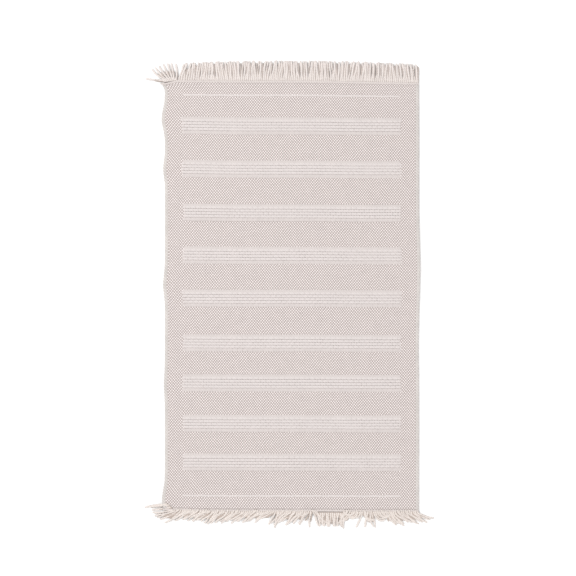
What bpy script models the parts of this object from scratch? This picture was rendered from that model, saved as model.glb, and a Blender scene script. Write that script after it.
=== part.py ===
"""Flat-woven cotton bath mat with nine raised bands and a loose fringe at both ends.

Metres, +Z up. X runs across the mat, +Y to its far end, and the floor is Z = 0.
The origin is on the floor at the middle of the mat. The cloth is one sheet on the real mat:
it is cut here at its fold line, so that the far half can turn over onto the near half.
"""

import math

import bmesh
import bpy
from mathutils import Matrix

# Driving dimensions of the cloth
BODY_WIDTH = 0.600
BODY_LENGTH = 1.000
CLOTH_THICKNESS = 0.0045
SELVEDGE_WIDTH = 0.008
SELVEDGE_THICKNESS = 0.0048

# The left edge lies in soft ripples: where along the mat, how far out, and half how long
EDGE_RIPPLES = (
    (0.413, 0.0080, 0.030),
    (0.295, 0.0045, 0.025),
    (0.025, 0.0045, 0.030),
    (-0.210, 0.0025, 0.030),
    (-0.480, 0.0070, 0.030),
)
EDGE_STEP = 0.0125

# Raised bands, hand-beaten, so the spaces between them vary a little
BAND_LENGTH = 0.514
BAND_WIDTH = 0.041
BAND_RIBS = 6
BAND_RISE = 0.0020
FIRST_BAND_Y = 0.398
BAND_SPACES = (0.1015, 0.1025, 0.1000, 0.1010, 0.1050, 0.0940, 0.0950, 0.0910)

# Single raised cord near each end, and the tight row that locks each end of the cloth
ACCENT_Y = 0.470
ACCENT_WIDTH = 0.006
ACCENT_RISE = 0.0010
HEADER_WIDTH = 0.006
HEADER_THICKNESS = 0.0055

# Fringe: loose warp ends, in bunches that fan out at the corners
BUNCHES = 16
BUNCH_GAP = 0.0012
BUNCH_TIP_INSET = 0.0020
BUNCH_STEPS = 4
FAR_FRINGE_LENGTH = 0.046
NEAR_FRINGE_LENGTH = 0.043
FRINGE_REACH = 0.034
FRINGE_ROOT_THICKNESS = 0.0042
FRINGE_TIP_THICKNESS = 0.0026

# Fold line across the mat, with its axis a little over the tops of the bands, as soft cloth folds
FOLD_Y = 0.021
FOLD_Z = 0.0095

# Space between pieces that touch, and the rounding of their upper edges
GAP = 0.0003
ROUNDING = 0.0008

BODY_END_Y = BODY_LENGTH / 2
BODY_SIDE_X = BODY_WIDTH / 2
SELVEDGE_INNER_X = BODY_SIDE_X - SELVEDGE_WIDTH
TOP_Z = CLOTH_THICKNESS + GAP


def clear_scene():
    for old in list(bpy.data.objects):
        bpy.data.objects.remove(old, do_unlink=True)


def yarn_material(name, colour, roughness):
    material = bpy.data.materials.new(name)
    material.use_nodes = True
    shader = material.node_tree.nodes["Principled BSDF"]
    shader.inputs["Base Color"].default_value = (*colour, 1.0)
    shader.inputs["Roughness"].default_value = roughness
    shader.inputs["Metallic"].default_value = 0.0
    return material


def ripple(y):
    """How far the left edge lies out at y."""
    return sum(
        out * math.exp(-(((y - middle) / half) ** 2)) for middle, out, half in EDGE_RIPPLES
    )


def steps_between(low, high, step):
    count = max(1, round((high - low) / step))
    return [low + (high - low) * i / count for i in range(count + 1)]


def finish(name, mesh_data, location, material, parent):
    """Make the object from a bmesh and hang it on its half's empty, at its own place."""
    bmesh.ops.recalc_face_normals(mesh_data, faces=mesh_data.faces)
    mesh = bpy.data.meshes.new(name)
    mesh_data.to_mesh(mesh)
    mesh_data.free()
    mesh.materials.append(material)
    piece = bpy.data.objects.new(name, mesh)
    bpy.context.scene.collection.objects.link(piece)
    piece.parent = parent
    piece.matrix_parent_inverse = Matrix.Translation(parent.location).inverted()
    piece.location = location
    return piece


def round_edges(piece):
    bevel = piece.modifiers.new("Rounding", "BEVEL")
    bevel.width = ROUNDING
    bevel.segments = 1
    bevel.limit_method = "ANGLE"
    bevel.angle_limit = math.radians(50)
    return piece


def slab(name, outline, height, location, material, parent, tip_height=None):
    """A flat piece from its plan outline. With tip_height it thins in a straight line along Y."""
    plan = bmesh.new()
    corners = [plan.verts.new((x, y, 0.0)) for x, y in outline]
    base = plan.faces.new(corners)
    raised = bmesh.ops.extrude_face_region(plan, geom=[base])["geom"]
    tip_y = max((y for _, y in outline), key=abs)
    drop = 0.0 if tip_height is None else height - tip_height
    for vert in (item for item in raised if isinstance(item, bmesh.types.BMVert)):
        vert.co.z = height - drop * vert.co.y / tip_y
    return finish(name, plan, location, material, parent)


def ground_cloth(name, low_y, high_y, material, parent):
    """One half of the cloth, inside the selvedges and following the rippled left edge."""
    left = [
        (-SELVEDGE_INNER_X - ripple(y), y) for y in steps_between(low_y, high_y, EDGE_STEP)
    ]
    right = [(SELVEDGE_INNER_X, high_y), (SELVEDGE_INNER_X, low_y)]
    return slab(name, left + right, CLOTH_THICKNESS, (0, 0, 0), material, parent)


def selvedge(name, side, low_y, high_y, material, parent):
    """The thick cord along one side edge. side is -1 for the left edge and 1 for the right."""
    ys = steps_between(low_y, high_y, EDGE_STEP) if side < 0 else [low_y, high_y]
    out = ripple if side < 0 else lambda y: 0.0
    inner = [(side * (SELVEDGE_INNER_X + GAP + out(y)), y) for y in ys]
    outer = [(side * (BODY_SIDE_X + out(y)), y) for y in reversed(ys)]
    piece = slab(name, inner + outer, SELVEDGE_THICKNESS, (0, 0, 0), material, parent)
    return round_edges(piece)


def relief_band(name, y, material, parent):
    """Raised rows of thick weft: a scalloped profile, one arch for each cord, drawn along X."""
    pitch = BAND_WIDTH / BAND_RIBS
    arch = (0.0, 0.10, 0.30, 0.70, 0.90)
    ends = [(BAND_WIDTH / 2, 0.0), (-BAND_WIDTH / 2, 0.0)]
    scallops = [
        (
            -BAND_WIDTH / 2 + pitch * (rib + along),
            BAND_RISE * (0.55 + 0.45 * math.sin(math.pi * along)),
        )
        for rib in range(BAND_RIBS)
        for along in arch
    ]
    scallops.append((BAND_WIDTH / 2, BAND_RISE * 0.55))
    profile = bmesh.new()
    corners = [profile.verts.new((-BAND_LENGTH / 2, py, pz)) for py, pz in ends + scallops]
    face = profile.faces.new(corners)
    drawn = bmesh.ops.extrude_face_region(profile, geom=[face])["geom"]
    verts = [item for item in drawn if isinstance(item, bmesh.types.BMVert)]
    bmesh.ops.translate(profile, verts=verts, vec=(BAND_LENGTH, 0, 0))
    return finish(name, profile, (0, y, TOP_Z), material, parent)


def cord_row(name, length, width, height, y, z, material, parent):
    """A single straight cord row across the mat: an accent line or a header row."""
    half_x, half_y = length / 2, width / 2
    outline = [(-half_x, -half_y), (half_x, -half_y), (half_x, half_y), (-half_x, half_y)]
    return round_edges(slab(name, outline, height, (0, y, z), material, parent))


def far_lean(x):
    """How far the far fringe's tips lie sideways: only its left corner fans out."""
    corner = max(0.0, (-x - 0.74 * BODY_SIDE_X) / (0.26 * BODY_SIDE_X))
    return -FRINGE_REACH * corner**2


def near_lean(x):
    """The near fringe's tips spread outwards towards both corners."""
    return FRINGE_REACH * (x / BODY_SIDE_X) ** 3


def far_length(x):
    return FAR_FRINGE_LENGTH - 0.010 * ((x - 0.05) / BODY_SIDE_X) ** 2


def near_length(x):
    uneven = 0.5 - 0.5 * math.cos(x / BODY_SIDE_X * 3.0 * math.pi)
    return NEAR_FRINGE_LENGTH - 0.012 * (x / BODY_SIDE_X) ** 2 - 0.005 * uneven


def fringe_bunch(name, root_x, width, end, lean, length, material, parent):
    """One bunch of loose yarn ends: a flat tongue that bends with its lean and thins to its tip."""
    sides = []
    for side in (-1, 1):
        edge_x = side * width / 2
        tip_lean = lean(root_x + edge_x) - side * BUNCH_TIP_INSET
        long = length(root_x + edge_x)
        sides.append(
            [
                (edge_x + tip_lean * (i / BUNCH_STEPS) ** 1.5, end * long * i / BUNCH_STEPS)
                for i in range(BUNCH_STEPS + 1)
            ]
        )
    left, right = sides
    tip = ((left[-1][0] + right[-1][0]) / 2, end * length(root_x))
    outline = left + [tip] + list(reversed(right))
    root_y = end * (BODY_END_Y + HEADER_WIDTH + 2 * GAP)
    return round_edges(
        slab(
            name,
            outline,
            FRINGE_ROOT_THICKNESS,
            (root_x, root_y, 0.0),
            material,
            parent,
            tip_height=FRINGE_TIP_THICKNESS,
        )
    )


def half_empty(name):
    """The empty that carries one half of the mat, on the fold's axis."""
    empty = bpy.data.objects.new(name, None)
    empty.location = (0, FOLD_Y, FOLD_Z)
    bpy.context.scene.collection.objects.link(empty)
    return empty


def build():
    clear_scene()
    halves = {"near": half_empty("near_half"), "far": half_empty("far_half")}
    spans = {"near": (-BODY_END_Y, FOLD_Y - GAP / 2), "far": (FOLD_Y + GAP / 2, BODY_END_Y)}
    ends = {"near": -1, "far": 1}
    leans = {"near": (near_lean, near_length), "far": (far_lean, far_length)}

    ground = yarn_material("ground_yarn", (0.690, 0.625, 0.605), 0.95)
    relief = yarn_material("relief_yarn", (0.760, 0.690, 0.670), 0.92)
    edge = yarn_material("edge_yarn", (0.715, 0.650, 0.615), 0.95)
    fringe = yarn_material("fringe_yarn", (0.730, 0.660, 0.620), 0.95)

    for half, parent in halves.items():
        low_y, high_y = spans[half]
        ground_cloth(f"ground_cloth_{half}", low_y, high_y, ground, parent)
        selvedge(f"selvedge_left_{half}", -1, low_y, high_y, edge, parent)
        selvedge(f"selvedge_right_{half}", 1, low_y, high_y, edge, parent)

        end = ends[half]
        accent_y = end * ACCENT_Y
        cord_row(
            f"accent_line_{half}", BAND_LENGTH, ACCENT_WIDTH, ACCENT_RISE,
            accent_y, TOP_Z, relief, parent,
        )
        header_y = end * (BODY_END_Y + GAP + HEADER_WIDTH / 2)
        cord_row(
            f"header_row_{half}", BODY_WIDTH, HEADER_WIDTH, HEADER_THICKNESS,
            header_y, 0.0, edge, parent,
        )

        lean, length = leans[half]
        pitch = BODY_WIDTH / BUNCHES
        for i in range(BUNCHES):
            root_x = -BODY_SIDE_X + pitch * (i + 0.5)
            fringe_bunch(
                f"fringe_{half}_{i + 1:02d}", root_x, pitch - BUNCH_GAP, end,
                lean, length, fringe, parent,
            )

    band_y = FIRST_BAND_Y
    for number, space in enumerate((0.0, *BAND_SPACES), start=1):
        band_y -= space
        parent = halves["far"] if band_y > FOLD_Y else halves["near"]
        relief_band(f"relief_band_{number}", band_y, relief, parent)


build()
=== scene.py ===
"""A flat-woven cotton bath mat, laid on a pale floor and seen from above.

The mat is made in the order in which it is woven: the ground cloth, the raised cords laid
into it, the rows that lock its ends, its side edges, and last the fringe of loose warp ends.
"""

import math
import random

import bmesh
import bpy
import numpy as np
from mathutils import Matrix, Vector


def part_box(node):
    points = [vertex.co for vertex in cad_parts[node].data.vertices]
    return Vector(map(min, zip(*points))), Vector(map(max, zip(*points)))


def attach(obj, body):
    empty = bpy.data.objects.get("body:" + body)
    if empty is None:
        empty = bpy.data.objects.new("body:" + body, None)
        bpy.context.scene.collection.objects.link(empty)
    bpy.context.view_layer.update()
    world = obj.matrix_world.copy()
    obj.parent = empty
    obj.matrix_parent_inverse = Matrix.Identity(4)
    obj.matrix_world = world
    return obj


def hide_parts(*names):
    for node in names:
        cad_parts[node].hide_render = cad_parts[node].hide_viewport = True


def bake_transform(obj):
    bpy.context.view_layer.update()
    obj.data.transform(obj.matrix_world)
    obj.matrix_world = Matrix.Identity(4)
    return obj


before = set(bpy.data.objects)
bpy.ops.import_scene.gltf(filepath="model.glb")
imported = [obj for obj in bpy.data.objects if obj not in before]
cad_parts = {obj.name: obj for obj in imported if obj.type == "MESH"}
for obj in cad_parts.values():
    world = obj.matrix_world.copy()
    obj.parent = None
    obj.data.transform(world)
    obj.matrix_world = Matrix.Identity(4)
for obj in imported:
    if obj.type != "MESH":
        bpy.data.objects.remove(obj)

scene = bpy.context.scene
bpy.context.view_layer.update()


# ---- Camera ------------------------------------------------------------------------------
# A long lens straight above the mat, so that its sides stay parallel. The mat lies a little
# to the right of the middle and a little low.
view_width = 1.355
camera_data = bpy.data.cameras.new("camera")
camera_data.lens = 100
camera_data.sensor_width = 36
camera = bpy.data.objects.new("camera", camera_data)
camera.location = (-0.0094, 0.0176, view_width * camera_data.lens / camera_data.sensor_width)
scene.collection.objects.link(camera)
scene.camera = camera


# ---- Ground cloth ------------------------------------------------------------------------
# The body of the mat: one sheet of heavy plain weave in cotton, a white weft over a greige
# warp. It lies nearly flat, with low waves, and its left edge lies in ripples.
near_low, near_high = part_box("ground_cloth_near")
far_low, far_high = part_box("ground_cloth_far")
half_width = far_high.x
cloth_top = far_high.z
warp_count = 192
weft_count = 286
warp_pitch = 2 * half_width / warp_count
weft_pitch = (far_high.y - near_low.y) / weft_count
fold_line = (near_high.y + far_low.y) / 2
weft_over_height = 0.00035
warp_over_height = -0.00035
underside_height = 0.0004

edge_points = sorted(
    (vertex.co.y, vertex.co.x)
    for node in ("ground_cloth_near", "ground_cloth_far")
    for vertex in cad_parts[node].data.vertices
    if vertex.co.x < -half_width + 1e-5 and vertex.co.z < 1e-5
)
edge_ys, edge_xs = (np.array(values) for values in zip(*edge_points))


def ripple(y):
    """How far out the left edge lies at y. Its far corner is pulled out a little more."""
    corner = np.clip((y - 0.474) / 0.028, 0, 1)
    return -half_width - np.interp(y, edge_ys, edge_xs) + 0.011 * corner**2


def right_bulge(y):
    """How far out the right edge lies at y: one long, shallow bulge and a slight hollow."""
    bulge = 0.0032 * np.exp(-(((y - 0.070) / 0.085) ** 2))
    return bulge - 0.0008 * np.exp(-(((y + 0.12) / 0.05) ** 2))


def sag(x, y):
    """How far a weft yarn lies towards the near end. Each slopes a little down to the right,
    the far right corner lies lowest, and the near end is pulled out."""
    far = np.clip(y / 0.25, 0, 1) * (1 - 0.8 * np.clip((y - 0.42) / 0.08, 0, 1))
    left = (0.0004 + 0.0007 * far) * (np.tanh((x + 0.19) / 0.06) - 1)
    right = (0.0004 + 0.0002 * far) * (np.tanh((x - 0.10) / 0.05) + 1)
    rightwards, upwards = np.clip((x - 0.02) / 0.27, 0, 1), np.clip((y - 0.43) / 0.07, 0, 1)
    far_corner = 0.0038 * rightwards**1.5 * upwards
    near_end = 0.0022 * np.clip((-y - 0.46) / 0.04, 0, 1) * np.clip((x + 0.27) / 0.05, 0, 1)
    return left + right + far_corner + near_end


def shifted(x, y):
    """Where a point of the cloth lies, once its sides have been drawn out and its yarns wander."""
    left = np.clip((-x / half_width - 0.35) / 0.65, 0, 1)
    right = np.clip((x / half_width - 0.35) / 0.65, 0, 1)
    inside = np.clip((half_width - np.abs(x)) / 0.04, 0, 1)
    wander = 0.0006 * np.sin(150 * y + 2.1 * np.sin(31 * x)) + 0.0003 * np.sin(260 * y - 90 * x)
    return x - ripple(y) * left**2 + right_bulge(y) * right**2 + wander * inside


def lift(x, y):
    """How high the cloth lies off the floor: low waves, and a little more under each ripple."""
    waves = 0.0006 * (1 + np.sin(14.5 * x + 1.1 + 1.3 * np.sin(7.0 * y)))
    waves = waves + 0.0004 * (1 + np.sin(19.0 * y + 4.0 * x))
    edge = np.clip((-x / half_width - 0.75) / 0.25, 0, 1)
    return waves + 0.25 * np.minimum(ripple(y), 0.008) * edge**2


def maths(tree, operation, first, second=0.0, third=0.0):
    """One Math node. Each input is a number or another node's output."""
    node = tree.nodes.new("ShaderNodeMath")
    node.operation = operation
    for socket, value in zip(node.inputs, (first, second, third)):
        if isinstance(value, (int, float)):
            socket.default_value = value
        else:
            tree.links.new(value, socket)
    return node.outputs[0]


def new_group(name, inputs, outputs):
    """An empty node group. Inputs and outputs are (name, socket type, value)."""
    tree = bpy.data.node_groups.new(name, "ShaderNodeTree")
    for direction, sockets in (("INPUT", inputs), ("OUTPUT", outputs)):
        for label, kind, value in sockets:
            socket = tree.interface.new_socket(label, in_out=direction, socket_type=kind)
            if value is not None:
                socket.default_value = value
    return tree, tree.nodes.new("NodeGroupInput"), tree.nodes.new("NodeGroupOutput")


def mixed(tree, share, first, second, blend="MIX"):
    """One colour Mix node. Each colour is a tuple or another node's output."""
    node = tree.nodes.new("ShaderNodeMix")
    node.data_type = "RGBA"
    node.blend_type = blend
    sockets = (node.inputs[0], node.inputs[6], node.inputs[7])
    for socket, value in zip(sockets, (share, first, second)):
        if isinstance(value, tuple):
            socket.default_value = (*value, 1.0)
        elif isinstance(value, (int, float)):
            socket.default_value = value
        else:
            tree.links.new(value, socket)
    return node.outputs[2]


def lightened(tree, colour, light):
    """A colour made lighter or darker by a mask that is 1 where the colour stays as it is."""
    grey = tree.nodes.new("ShaderNodeCombineColor")
    for socket in grey.inputs:
        tree.links.new(light, socket)
    return mixed(tree, 1.0, colour, grey.outputs[0], "MULTIPLY")


def plain_weave_group():
    """Height of the top yarn, where the weft is on top, and a painted-shade mask for the gaps
    between yarns.

    Yarns is counted in yarns: whole numbers are the middles of warp and weft yarns."""
    tree, given, made = new_group(
        "plain_weave",
        [("Yarns", "NodeSocketVector", None), ("Swing", "NodeSocketFloat", 0.45)],
        [
            ("Height", "NodeSocketFloat", None),
            ("Weft Over", "NodeSocketFloat", None),
            ("Painted Gap Shade", "NodeSocketFloat", None),
        ],
    )
    split = tree.nodes.new("ShaderNodeSeparateXYZ")
    tree.links.new(given.outputs["Yarns"], split.inputs[0])
    across, along = split.outputs[0], split.outputs[1]
    swing = given.outputs["Swing"]
    heights = []
    for own, other, over in ((along, across, 1.0), (across, along, -1.0)):
        middle = maths(tree, "ROUND", own)
        aside = maths(tree, "SUBTRACT", own, middle)
        width = maths(tree, "MULTIPLY", aside, 1.9)
        round_top = maths(tree, "SQRT", maths(tree, "MAXIMUM", maths(
            tree, "SUBTRACT", 1.0, maths(tree, "POWER", maths(tree, "ABSOLUTE", width), 2.0)
        ), 0.0))
        odd = maths(tree, "FLOORED_MODULO", middle, 2.0)
        sign = maths(tree, "MULTIPLY_ADD", odd, -2.0 * over, over)
        crest = maths(tree, "COSINE", maths(tree, "MULTIPLY", other, math.pi))
        carried = maths(tree, "MULTIPLY", maths(tree, "MULTIPLY", crest, sign), swing)
        slant = maths(tree, "MULTIPLY_ADD", aside, 2.2, maths(tree, "MULTIPLY", other, 2.0))
        ply = maths(tree, "SINE", maths(tree, "MULTIPLY", slant, 2 * math.pi))
        plied_top = maths(tree, "MULTIPLY_ADD", ply, 0.08, round_top)
        heights.append(maths(tree, "ADD", carried, plied_top))
    weft, warp = heights
    top = maths(tree, "MAXIMUM", weft, warp)
    tree.links.new(top, made.inputs["Height"])
    tree.links.new(maths(tree, "GREATER_THAN", weft, warp), made.inputs["Weft Over"])
    # Painted shade mask: strongest where the top yarn lies lowest, in the gaps between yarns.
    gap = maths(tree, "SUBTRACT", 1.0, maths(tree, "MULTIPLY", top, 0.8))
    tree.links.new(maths(tree, "MAXIMUM", gap, 0.0), made.inputs["Painted Gap Shade"])
    return tree


def cotton_group():
    """Soft unevenness of cotton: a light and dark mottle, and the height of its loose fibres."""
    tree, given, made = new_group(
        "cotton",
        [("Place", "NodeSocketVector", None), ("Mottle", "NodeSocketFloat", 0.06)],
        [("Light", "NodeSocketFloat", None), ("Height", "NodeSocketFloat", None)],
    )
    mottle = tree.nodes.new("ShaderNodeTexNoise")
    mottle.inputs["Scale"].default_value = 60.0
    mottle.inputs["Detail"].default_value = 2.0
    tree.links.new(given.outputs["Place"], mottle.inputs["Vector"])
    centred = maths(tree, "SUBTRACT", mottle.outputs[0], 0.5)
    light = maths(tree, "MULTIPLY_ADD", centred, given.outputs["Mottle"], 1.0)
    tree.links.new(light, made.inputs["Light"])
    fibres = tree.nodes.new("ShaderNodeTexNoise")
    fibres.inputs["Scale"].default_value = 1500.0
    fibres.inputs["Detail"].default_value = 2.0
    tree.links.new(given.outputs["Place"], fibres.inputs["Vector"])
    tree.links.new(fibres.outputs[0], made.inputs["Height"])
    return tree


plain_weave = plain_weave_group()
cotton = cotton_group()


def placed_group(tree, group, **values):
    """A node group placed in a material, with its inputs set or linked."""
    node = tree.nodes.new("ShaderNodeGroup")
    node.node_tree = group
    for label, value in values.items():
        if isinstance(value, (int, float)):
            node.inputs[label].default_value = value
        else:
            tree.links.new(value, node.inputs[label])
    return node


def bumped(tree, height, distance, normal=None):
    node = tree.nodes.new("ShaderNodeBump")
    node.inputs["Distance"].default_value = distance
    tree.links.new(height, node.inputs["Height"])
    if normal is not None:
        tree.links.new(normal, node.inputs["Normal"])
    return node.outputs[0]


def new_cotton_material(name):
    """A matt cotton shader with a soft sheen, and its tree."""
    material = bpy.data.materials.new(name)
    material.use_nodes = True
    shader = material.node_tree.nodes["Principled BSDF"]
    shader.inputs["Roughness"].default_value = 0.95
    shader.inputs["Specular IOR Level"].default_value = 0.2
    shader.inputs["Sheen Weight"].default_value = 0.15
    shader.inputs["Sheen Roughness"].default_value = 0.6
    return material, material.node_tree, shader


def ground_material():
    material, tree, shader = new_cotton_material("ground_weave")
    white_weft = (0.838, 0.775, 0.762)
    greige_warp = (0.395, 0.332, 0.310)
    # Painted shade: the colour that the gaps between yarns are darkened towards.
    painted_gap_shade = (0.20, 0.160, 0.145)
    yarns = tree.nodes.new("ShaderNodeUVMap")
    yarns.uv_map = "yarns"
    weave = placed_group(tree, plain_weave, Yarns=yarns.outputs[0])
    place = tree.nodes.new("ShaderNodeVectorMath")
    place.operation = "MULTIPLY"
    place.inputs[1].default_value = (warp_pitch, weft_pitch, 1.0)
    tree.links.new(yarns.outputs[0], place.inputs[0])
    fluff = placed_group(tree, cotton, Place=place.outputs[0], Mottle=0.12)
    colour = mixed(tree, weave.outputs["Weft Over"], greige_warp, white_weft)
    # Painted shade in the gaps between yarns, darker where the top yarn lies lower.
    colour = mixed(tree, maths(tree, "MULTIPLY", weave.outputs["Painted Gap Shade"], 0.8), colour, painted_gap_shade)
    colour = lightened(tree, colour, fluff.outputs["Light"])
    tree.links.new(colour, shader.inputs["Base Color"])
    fibre = bumped(tree, fluff.outputs["Height"], 0.0001)
    normal = bumped(tree, weave.outputs["Height"], 0.0007, fibre)
    tree.links.new(normal, shader.inputs["Normal"])
    return material


def woven_sheet():
    """The sheet: a fine grid for the upper face, a coarser one below, bridged at their edges."""
    shell = bmesh.new()
    size = (2 * half_width, far_high.y - near_low.y)
    middle_y = (far_high.y + near_low.y) / 2
    for coarseness, height in ((1, cloth_top), (2, 0.0)):
        columns, rows = warp_count // coarseness, weft_count // coarseness
        grid = bmesh.ops.create_grid(shell, x_segments=columns, y_segments=rows, size=0.5)
        bmesh.ops.scale(shell, verts=grid["verts"], vec=(*size, 1))
        bmesh.ops.translate(shell, verts=grid["verts"], vec=(0, middle_y, height))
        if height == 0.0:
            faces = list({face for vert in grid["verts"] for face in vert.link_faces})
            bmesh.ops.reverse_faces(shell, faces=faces)
    rims = [edge for edge in shell.edges if edge.is_boundary]
    bmesh.ops.bridge_loops(shell, edges=rims)
    mesh = bpy.data.meshes.new("ground_cloth")
    shell.to_mesh(mesh)
    shell.free()
    return mesh


def lay_out_cloth(mesh):
    """Numbers the yarns in a UV map, lays both faces out flat in another, and sets the heights."""
    place = np.zeros(len(mesh.vertices) * 3, np.float32)
    mesh.vertices.foreach_get("co", place)
    place = place.reshape(-1, 3).astype(float)
    upper = place[:, 2] > cloth_top / 2
    column = (place[:, 0] + half_width) / warp_pitch
    row = (place[:, 1] - near_low.y) / weft_pitch

    corners = np.zeros(len(mesh.loops), np.int32)
    mesh.loops.foreach_get("vertex_index", corners)
    yarns = np.stack([column + np.where(upper, 0, 1), row], 1)
    upper_share, under_share, length_share, margin, under_start = 0.57, 0.36, 0.96, 0.02, 0.62
    across = column / warp_count * np.where(upper, upper_share, under_share)
    across += np.where(upper, margin, under_start)
    flat = np.stack([across, row / weft_count * length_share + margin], 1)
    for name, values in (("OFBake", flat), ("yarns", yarns)):
        layer = mesh.uv_layers.new(name=name)
        layer.data.foreach_set("uv", values[corners].astype(np.float32).ravel())

    weft_over = (np.rint(column) + np.rint(row)) % 2 == 0
    relief = np.where(weft_over, weft_over_height, warp_over_height)
    x, y = place[:, 0].copy(), place[:, 1].copy()
    place[:, 0] = shifted(x, y)
    wander = 0.0006 * np.sin(140 * x + 1.7 * np.sin(27 * y)) + 0.0003 * np.sin(230 * x + 80 * y)
    place[:, 1] += wander * np.clip((far_high.y - np.abs(y)) / 0.03, 0, 1) - sag(x, y)
    place[:, 2] += np.where(upper, relief, underside_height) + lift(x, y)
    mesh.vertices.foreach_set("co", place.astype(np.float32).ravel())
    mesh.shade_smooth()


cloth_mesh = woven_sheet()
lay_out_cloth(cloth_mesh)
cloth_mesh.materials.append(ground_material())
cloth = bpy.data.objects.new("woven_cloth", cloth_mesh)
scene.collection.objects.link(cloth)
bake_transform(cloth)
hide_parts("ground_cloth_near", "ground_cloth_far")


def lay_on_cloth(piece, half, node):
    """Puts a piece on the near or far half, in place of the solid that it stands for."""
    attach(piece, f"{half}_half")
    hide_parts(node)


# ---- Raised bands ------------------------------------------------------------------------
# Nine bands of six thick, soft weft cords. Each cord floats over three warp yarns and dips
# under the fourth, and the next cord's dips are halfway between, as bricks lie. The outer two
# cords lie flatter and wider, and the outermost one is half under its neighbour.
cord_step = warp_pitch / 2
float_length = 4 * warp_pitch
cord_width = 0.0067
cord_height = 0.0024
dip_depth = 0.0020
dip_reach = 0.10
# For each cord: its place from the band's far edge, its size, how far it is sunk, how it dips
band_cords = (
    (0.0038, 1.25, 0.0006, 0.25), (0.0084, 1.0, 0.0, 0.8), (0.0152, 1.0, 0.0, 0.8),
    (0.0220, 1.0, 0.0, 0.8), (0.0288, 1.0, 0.0, 0.8), (0.0364, 1.36, 0.0006, 0.5),
)


def yarn_profile(width, height, lobes=2, bulge=0.0, flatness=1.0, corners=12):
    """A yarn's cross-section: an ellipse with a lobe for each ply, squarer as flatness falls."""
    curve = bpy.data.curves.new("profile", "CURVE")
    spline = curve.splines.new("POLY")
    spline.points.add(corners - 1)
    spline.use_cyclic_u = True
    for number, point in enumerate(spline.points):
        turn = 2 * math.pi * (number + 0.5) / corners
        out = 1 + bulge * math.cos(lobes * turn)
        across, up = math.cos(turn), math.sin(turn)
        across = math.copysign(abs(across) ** flatness, across) * out
        up = math.copysign(abs(up) ** flatness, up) * out
        point.co = (width / 2 * across, height / 2 * up, 0, 1)
    profile = bpy.data.objects.new("profile", curve)
    scene.collection.objects.link(profile)
    return profile


def spun(name, runs, profile, materials, press=1.0):
    """Yarns of one piece, swept along their runs. A run is a list of (x, y, z, size, twist).

    A run can be paired with the number of its material. Press makes every yarn that much
    thinner than it is wide, whichever way it is twisted."""
    curve = bpy.data.curves.new(name, "CURVE")
    curve.dimensions = "3D"
    curve.twist_mode = "Z_UP"
    curve.bevel_mode = "OBJECT"
    curve.bevel_object = profile
    curve.use_fill_caps = True
    for material in materials:
        curve.materials.append(material)
    for run in runs:
        run, shade = run if isinstance(run, tuple) else (run, 0)
        spline = curve.splines.new("POLY")
        spline.points.add(len(run) - 1)
        spline.material_index = shade
        for point, (x, y, z, size, twist) in zip(spline.points, run):
            point.co = (x, y, z / press, 1)
            point.radius = size
            point.tilt = twist
    swept = bpy.data.objects.new(name, curve)
    scene.collection.objects.link(swept)
    bpy.context.view_layer.update()
    evaluated = swept.evaluated_get(bpy.context.evaluated_depsgraph_get())
    rough = bpy.data.meshes.new_from_object(evaluated)
    bpy.data.objects.remove(swept)
    closed = bmesh.new()
    closed.from_mesh(rough)
    bmesh.ops.remove_doubles(closed, verts=closed.verts, dist=1e-6)
    bmesh.ops.scale(closed, verts=closed.verts, vec=(1, 1, press))
    bmesh.ops.recalc_face_normals(closed, faces=closed.faces)
    mesh = bpy.data.meshes.new(name)
    closed.to_mesh(mesh)
    closed.free()
    mesh.shade_smooth()
    for material in materials:
        mesh.materials.append(material)
    piece = bpy.data.objects.new(name, mesh)
    scene.collection.objects.link(piece)
    return piece


def cord_material(name, colour, shade, mottle, ply_length, coordinates="Object"):
    """Soft spun cotton. Its plies slant along X, ply_length apart, and fibres roughen it."""
    material, tree, shader = new_cotton_material(name)
    if coordinates == "Object":
        place = tree.nodes.new("ShaderNodeTexCoord").outputs["Object"]
    else:
        rest = tree.nodes.new("ShaderNodeAttribute")
        rest.attribute_name = coordinates
        place = rest.outputs["Vector"]
    fluff = placed_group(tree, cotton, Place=place, Mottle=mottle)
    split = tree.nodes.new("ShaderNodeSeparateXYZ")
    tree.links.new(place, split.inputs[0])
    slant = maths(tree, "ADD", split.outputs[0], split.outputs[1])
    ply = maths(tree, "SINE", maths(tree, "MULTIPLY", slant, 2 * math.pi / ply_length))
    groove = maths(tree, "MULTIPLY_ADD", ply, -0.5, 0.5)
    # Painted shade: the grooves between the plies are darkened towards the shade colour.
    painted_groove_shade = maths(tree, "MULTIPLY", maths(tree, "POWER", groove, 3.0), 0.35)
    tinted = lightened(tree, mixed(tree, painted_groove_shade, colour, shade), fluff.outputs["Light"])
    tree.links.new(tinted, shader.inputs["Base Color"])
    fibre = bumped(tree, fluff.outputs["Height"], 0.0003)
    tree.links.new(bumped(tree, ply, 0.0002, fibre), shader.inputs["Normal"])
    return material


def floating_cord(low, high, y, top, dip, first_dip, size=1.0):
    """One weft cord across the cloth. It dips at every fourth warp yarn and at both its ends."""
    run = []
    count = round((high - low) / cord_step)
    for number in range(count + 1):
        x = low + (high - low) * number / count
        off_dip = abs((x - first_dip) / float_length % 1 - 0.5)
        slack = 0.75 + 0.25 * math.sin(23 * x + 310 * y) * math.sin(61 * x - 170 * y)
        tied = slack * math.exp(-(((0.5 - off_dip) / dip_reach) ** 2))
        ended = math.exp(-min(number, count - number) / 2.0)
        down = min(1.0, dip * tied + ended)
        height = top - size * cord_height / 2 - dip_depth * down + float(lift(x, y))
        place = (float(shifted(x, y)), y - float(sag(x, y)), height)
        run.append((*place, size * (1.0 - 0.25 * down), 0.0))
    return run


# Each cord material's second colour is the painted shade of its ply grooves.
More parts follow.
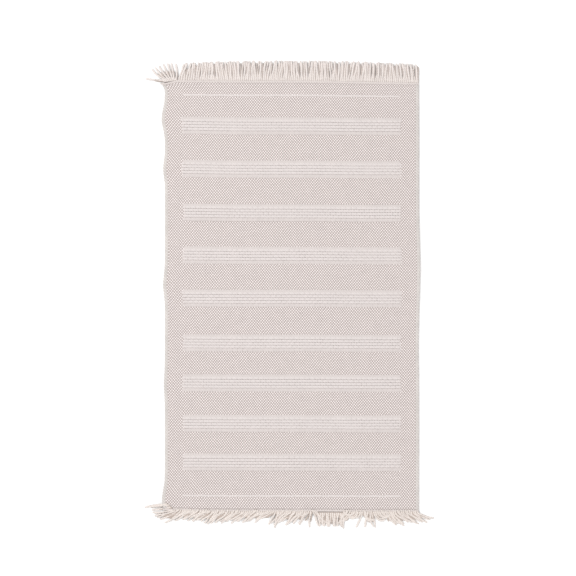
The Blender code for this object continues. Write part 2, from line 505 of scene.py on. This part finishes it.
band_yarn = cord_material(
    "band_cord", (0.665, 0.611, 0.596), (0.44, 0.384, 0.365), 0.08, ply_length=0.0061
)
outer_band_yarn = cord_material(
    "outer_band_cord", (0.610, 0.556, 0.540), (0.44, 0.384, 0.365), 0.12, ply_length=0.0061
)
for number in range(1, 10):
    low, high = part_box(f"relief_band_{number}")
    profile = yarn_profile(cord_width, cord_height, flatness=0.75)
    runs = []
    for cord, (aside, size, sunk, dip) in enumerate(band_cords):
        first_dip = float_length / 2 * (cord % 2)
        run = floating_cord(low.x, high.x, high.y - aside, high.z - sunk, dip, first_dip, size)
        runs.append((run, 1 if sunk else 0))
    band = spun(f"band_cords_{number}", runs, profile, (band_yarn, outer_band_yarn))
    bpy.data.objects.remove(profile)
    half = "far" if low.y > fold_line else "near"
    lay_on_cloth(band, half, f"relief_band_{number}")


# ---- Accent lines ------------------------------------------------------------------------
# One thinner cord near each end of the cloth, in the same soft cotton as the bands. It is woven
# in as a single row, and lies a little deeper than they do.
accent_sunk = 0.0004
for half in ("near", "far"):
    low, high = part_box(f"accent_line_{half}")
    profile = yarn_profile(0.8 * (high.y - low.y), cord_height, flatness=0.75)
    middle_y = (low.y + high.y) / 2
    row = floating_cord(low.x, high.x, middle_y, high.z - accent_sunk, dip=0.4, first_dip=0.0)
    accent = spun(f"accent_cord_{half}", [row], profile, (band_yarn,))
    bpy.data.objects.remove(profile)
    lay_on_cloth(accent, half, f"accent_line_{half}")


# ---- Header rows -------------------------------------------------------------------------
# Two strands twined round each other and round the warp ends, which lock the weave where the
# fringe begins: half a turn at each warp end. The far left corner has curled over the cloth.
bunch_count = 16
yarns_in_bunch = 8
warp_end_pitch = 2 * (half_width + 0.0045) / (bunch_count * yarns_in_bunch)
corner_curl_start = -0.270
corner_curl_reach = 0.026
corner_curl_back = 0.0070
corner_curl_rise = 0.0030
header_height = 0.0027
twist_height = 0.0008
# For each end: how far up it lies, how far its strands swing, and how wide they are
twining = {"far": (-0.0007, 0.0012, 0.0050), "near": (0.0005, 0.0010, 0.0040)}


def corner_curl(x):
    """0 along the header, growing to 1 at the curled corner."""
    return min(1.0, max(0.0, (corner_curl_start - x) / corner_curl_reach))


# The second colour is the painted shade of the header's ply grooves.
header_yarn = cord_material(
    "header_cord", (0.655, 0.597, 0.575), (0.40, 0.340, 0.315), 0.08, ply_length=0.0061
)
for half, (upwards, reach, strand_width) in twining.items():
    low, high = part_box(f"header_row_{half}")
    middle_y = (low.y + high.y) / 2
    profile = yarn_profile(strand_width, 0.0034, flatness=0.85)
    left = low.x - float(ripple(middle_y)) * 0.8
    right = high.x - 0.002
    count = round((right - left) / (warp_end_pitch / 4))
    runs = []
    for way in (-1, 1):
        run = []
        for number in range(count + 1):
            x = left + (right - left) * number / count
            curl = corner_curl(x) if half == "far" else 0.0
            turn = math.pi * number / 4
            y = middle_y + upwards - float(sag(x, middle_y)) - corner_curl_back * curl
            y += way * reach * math.cos(turn) * (1 - 0.5 * curl)
            height = header_height + float(lift(x, middle_y)) + corner_curl_rise * curl
            height += way * twist_height * math.sin(turn)
            end_size = min(1.0, 0.5 + 0.25 * min(number, count - number))
            run.append((x, y, height, end_size * (1 - 0.3 * curl), 0.0))
        runs.append(run)
    header = spun(f"header_twining_{half}", runs, profile, (header_yarn,))
    bpy.data.objects.remove(profile)
    lay_on_cloth(header, half, f"header_row_{half}")


# ---- Side edges --------------------------------------------------------------------------
# Selvedges: a bundle of edge warps down each side, with the weft turned round it at every
# second row, so its edge is finely knobbed. Each one crosses the fold with the cloth.
# The second colour is the painted shade of the selvedge's ply grooves.
edge_yarn = cord_material(
    "selvedge_cord", (0.600, 0.562, 0.538), (0.28, 0.236, 0.218), 0.30, ply_length=0.0070,
    coordinates="rest_place",
)
for side, way in (("left", -1), ("right", 1)):
    low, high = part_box(f"selvedge_{side}_near")
    far_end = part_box(f"selvedge_{side}_far")[1].y
    thick = high.z - low.z
    profile = yarn_profile(0.0088, thick, flatness=0.75)
    count = weft_count * 2
    run = []
    for number in range(count + 1):
        y = low.y + (far_end - low.y) * number / count
        x = way * (half_width + 0.0020)
        out = float(ripple(y) if way < 0 else right_bulge(y))
        knob = 1.0 + 0.07 * math.cos(2 * math.pi * number / 4)
        height = thick / 2 + 0.0002 + float(lift(x, y))
        run.append((x + way * out, y - float(sag(x, y)), height, knob, 0.0))
    selvedge = spun(f"selvedge_bundle_{side}", [run], profile, (edge_yarn,))
    bpy.data.objects.remove(profile)
    rest = np.zeros(len(selvedge.data.vertices) * 3, np.float32)
    selvedge.data.vertices.foreach_get("co", rest)
    attribute = selvedge.data.attributes.new("rest_place", "FLOAT_VECTOR", "POINT")
    attribute.data.foreach_set("vector", rest)
    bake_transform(selvedge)
    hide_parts(f"selvedge_{side}_near", f"selvedge_{side}_far")


# ---- Fringe ------------------------------------------------------------------------------
# The warp ends, left loose past the header: at each place a light yarn over a darker one, and
# eight places to a bunch. The darker yarns are painted shade: they fill the gaps between the
# light yarns with the colour of the shade there. The far ones are combed out, the near ones
# have been rumpled.
fringe_yarn_width = 0.0056
fringe_press = 0.72
ply_turn = 0.013
yarn_steps = 34
fray_fibres = 4
dark_girth = 0.66
floor_height = fringe_yarn_width * fringe_press * 0.49
root_height = 0.0040
layer_rise = 0.0016
tip_droop = 0.0009
settled_from = 0.45
droop_from = 0.7
strand_profile = yarn_profile(fringe_yarn_width, fringe_yarn_width, bulge=0.14, corners=10)
# For each end: the colour of its light yarns, and the painted shade of their grooves and its dark
# yarns
fringe_yarns = {
    "far": ((0.775, 0.710, 0.678), (0.52, 0.452, 0.416)),
    "near": ((0.790, 0.720, 0.676), (0.52, 0.440, 0.392)),
}
for half, (light_yarn, shade) in fringe_yarns.items():
    fringe_yarns[half] = (
        cord_material(f"{half}_fringe_light", light_yarn, shade, 0.12, ply_length=0.0047),
        # Painted shade: the dark yarns under the gaps between the light yarns stand for the shade
        # there.
        cord_material(f"{half}_fringe_painted_shade", shade, shade, 0.12, ply_length=0.0047),
    )


def strand(root, heading, turns, length, start_height, layer, girth, chance):
    """One loose yarn from its root. turns(share) is how far it has turned, in degrees.

    Layer 0 lies on the floor. Layer 1 lies over its neighbours."""
    x, y = root
    rest_height = floor_height * (1.15 - 0.15 * layer) + layer_rise * layer
    step = length / yarn_steps
    first_twist = chance.uniform(0, math.pi)
    run = []
    for number in range(yarn_steps + 1):
        share = number / yarn_steps
        settle = min(1.0, share / settled_from)
        settle = settle * settle * (3 - 2 * settle)
        droop = tip_droop * layer * max(0.0, share - droop_from) / 0.3
        height = start_height + (rest_height - start_height) * settle - droop
        size = girth + 0.06 * math.sin(9 * share + first_twist)
        if share < 0.12:
            size *= 0.80 + 0.20 * share / 0.12
        if share > 0.92:
            size *= 1.0 - 4.5 * (share - 0.92)
        run.append((x, y, height, size, first_twist + 2 * math.pi * share * length / ply_turn))
        angle = math.radians(heading + turns(share))
        x += step * math.cos(angle)
        y += step * math.sin(angle)
    return run


def frayed_end(run, chance):
    """A few loose fibres past a yarn's cut end."""
    (x0, y0, _, _, _), (x1, y1, z1, _, _) = run[-3], run[-1]
    heading = math.atan2(y1 - y0, x1 - x0)
    fibres = []
    for _ in range(fray_fibres):
        angle = heading + chance.uniform(-0.5, 0.5)
        long = chance.uniform(0.0010, 0.0032)
        aside = chance.uniform(-0.35, 0.35) * fringe_yarn_width
        start_x = x1 - 0.001 * math.cos(heading) - aside * math.sin(heading)
        start_y = y1 - 0.001 * math.sin(heading) + aside * math.cos(heading)
        height = z1 * chance.uniform(0.6, 1.1)
        fibres.append(
            [
                (start_x + long * part * math.cos(angle), start_y + long * part * math.sin(angle),
                 height, size, 0.0)
                for part, size in ((0.0, 0.20), (0.5, 0.14), (1.0, 0.04))
            ]
        )
    return fibres


def bunch_roots(half, number):
    """Where the yarns of a bunch leave the header."""
    low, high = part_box(f"header_row_{half}")
    end_y = high.y if half == "far" else low.y
    first = warp_end_pitch * (yarns_in_bunch * (number - 1 - bunch_count // 2) + 0.5)
    xs = [first + warp_end_pitch * place for place in range(yarns_in_bunch)]
    return [(x, end_y - float(sag(x, end_y))) for x in xs]


def make_bunch(half, number, runs):
    name = f"fringe_yarns_{half}_{number:02d}"
    bunch = spun(name, runs, strand_profile, fringe_yarns[half], fringe_press)
    lay_on_cloth(bunch, half, f"fringe_{half}_{number:02d}")


# Far end: tips trimmed to a shallow arc. The left corner's bunch is gathered and fans out: how
# far each of its yarns has turned to the left at its root and at its tip, and its length.
corner_fan = (
    (90, 82, 0.047), (72, 33, 0.047), (60, 30, 0.046), (50, 24, 0.045),
    (36, 17, 0.044), (24, 9, 0.043), (12, 9, 0.042), (-14, 13, 0.040),
)
longest, arc_depth, dark_shorter = 0.0470, 0.0079, 0.006
root_tuck = 0.0015
chance = random.Random(7)
for number in range(1, bunch_count + 1):
    runs = []
    for place, (first_x, y) in enumerate(bunch_roots("far", number)):
        for dark in (0, 1):
            x = first_x + 0.5 * warp_end_pitch * dark
            length = longest - arc_depth * ((x + 0.02) / 0.30) ** 2 + float(sag(x, y))
            drawn = 6 * math.sin(31 * x) + 4 * math.sin(73 * x + 1.0)
            if dark:
                lean, length, sway, phase = drawn, length - dark_shorter, 3, 0
                layer, girth = 0.4, dark_girth
            else:
                length += chance.uniform(-0.0018, 0.0008)
                lean = drawn + chance.uniform(-6, 6)
                sway, phase = chance.uniform(2, 8), chance.uniform(0, 6.28)
                layer, girth = place % 2, chance.uniform(0.74, 0.92)
            end_lean = lean
            if number == 1:
                x = -0.2995 + 0.0038 * (place + 0.5 * dark)
                lean, end_lean, length = corner_fan[place]
                length -= 0.018 * dark
                sway, girth = 2, 0.80
            elif number == 2:
                nearer = 1 - place / yarns_in_bunch
                x -= 0.008 * nearer
                lean = end_lean = lean - 14 * nearer
                length -= 0.010 * nearer * dark
            curl = corner_curl(x)

            def turns(share, lean=lean, end_lean=end_lean, sway=sway, phase=phase):
                bend = lean + (end_lean - lean) * share
                return bend * min(1.0, share / 0.15) + sway * math.sin(7 * share + phase)

            height = root_height - 0.0008 * dark + corner_curl_rise * curl + float(lift(x, y))
            root = (x, y - root_tuck - 0.0050 * curl)
            run = strand(root, 90, turns, length, height, layer, girth, chance)
            runs += [(yarn, dark) for yarn in (run, *frayed_end(run, chance))]
    make_bunch("far", number, runs)

# Near end: how far the yarns lean, in degrees to the right, at places along the edge. They
# sweep left over most of it, hang straight in one tuft, and sweep right at the right corner.
lean_places = (
    (-0.300, -84), (-0.285, -76), (-0.262, -62), (-0.200, -54), (-0.170, -46), (-0.120, -58),
    (-0.040, -57), (-0.0385, -3), (-0.031, -3), (-0.028, -42), (0.020, -48), (0.040, -42),
    (0.044, -12), (0.047, -8), (0.050, 46), (0.058, 45), (0.064, 3), (0.122, 0),
    (0.128, -34), (0.143, -30), (0.150, -10), (0.212, 12), (0.222, 36), (0.260, 46),
    (0.300, 61),
)
# How far the yarns curl round on the way to their tips, in degrees, at places along the edge.
curl_places = (
    (0.140, 0), (0.145, -200), (0.163, -180), (0.166, 130), (0.174, 130), (0.177, 0), (0.190, 0),
    (0.193, 150), (0.214, 190), (0.217, 0), (0.222, 14), (0.300, 22),
)
# The straight tuft starts below the cloth, and the corner's first yarns start on top of it:
# how far in, and how far they lean.
tuft_from, tuft_to = 0.062, 0.122
corner_starts = ((0.0180, -80), (0.0150, -86), (0.0105, -80))
for number in range(1, bunch_count + 1):
    runs = []
    for place, (first_x, y) in enumerate(bunch_roots("near", number)):
        for dark in (0, 1):
            x = first_x + 0.5 * warp_end_pitch * dark
            lean = float(np.interp(x, *zip(*lean_places)))
            curl = float(np.interp(x, *zip(*curl_places)))
            if dark:
                layer, girth, over, length = 0.3, dark_girth, 0.001, 0.023
                sway, phase = 4, 0
            else:
                lean += chance.uniform(-12, 12)
                curl *= chance.uniform(0.75, 1.15)
                layer = 0.65 * (2 * place % 3) + chance.uniform(0, 0.2)
                girth = chance.uniform(0.66, 0.84)
                over, length = chance.uniform(0.0015, 0.0065), chance.uniform(0.033, 0.039)
                sway, phase = chance.uniform(4, 13), chance.uniform(0, 6.28)
            lean_by, start_height = 0.20, root_height + 0.3 * over
            if tuft_from < x < tuft_to:
                lean, start_height = lean * 0.5, 0.003
                over = 0.0005 if dark else -0.001
                length = 0.027 if dark else chance.uniform(0.0305, 0.0325)
            elif number == 1 and place < len(corner_starts):
                over, lean = corner_starts[place]
                over -= 0.002 * dark
                lean_by, start_height, length, sway = 0.02, 0.0062, 0.036 - 0.012 * dark, 3
            elif number == 1:
                lean_by, length = 0.02 * place, length + 0.011
            elif x > 0.23:
                length += 0.0045

            def turns(share, lean=lean, lean_by=lean_by, curl=curl, sway=sway, phase=phase):
                sweep = lean * min(1.0, share / lean_by)
                return sweep + curl * share**1.4 + sway * math.sin(6 * share + phase)

            start_height += float(lift(x, y))
            length += abs(over)
            run = strand((x, y + over), -90, turns, length, start_height, layer, girth, chance)
            runs += [(yarn, dark) for yarn in (run, *frayed_end(run, chance))]
    make_bunch("near", number, runs)
bpy.data.objects.remove(strand_profile)


# ---- Floor and light ---------------------------------------------------------------------
# A plain white floor, a large soft light from the upper left, a weaker one across from it,
# and an even white sky.
floor_mesh = bpy.data.meshes.new("floor")
floor_shape = bmesh.new()
bmesh.ops.create_grid(floor_shape, x_segments=1, y_segments=1, size=20.0)
bmesh.ops.translate(floor_shape, verts=floor_shape.verts, vec=(0, 0, -0.0002))
floor_shape.to_mesh(floor_mesh)
floor_shape.free()
floor_paint = bpy.data.materials.new("floor_paint")
floor_paint.use_nodes = True
floor_shader = floor_paint.node_tree.nodes["Principled BSDF"]
floor_shader.inputs["Base Color"].default_value = (0.95, 0.95, 0.95, 1)
floor_shader.inputs["Roughness"].default_value = 0.9
floor_mesh.materials.append(floor_paint)
floor = bpy.data.objects.new("floor", floor_mesh)
scene.collection.objects.link(floor)

for name, place, size, power in (
    ("key", (-2.6, 1.4, 3.8), 2.4, 128),
    ("fill", (2.6, -2.2, 3.8), 3.0, 70),
):
    light_data = bpy.data.lights.new(name, "AREA")
    light_data.size = size
    light_data.energy = power
    light = bpy.data.objects.new(name, light_data)
    light.location = place
    light.rotation_euler = (-light.location).to_track_quat("-Z", "Y").to_euler()
    scene.collection.objects.link(light)

world = bpy.data.worlds.new("sky")
world.use_nodes = True
background = world.node_tree.nodes["Background"]
background.inputs["Color"].default_value = (1.0, 1.0, 1.0, 1)
background.inputs["Strength"].default_value = 0.75
scene.world = world
scene.view_settings.view_transform = "Standard"
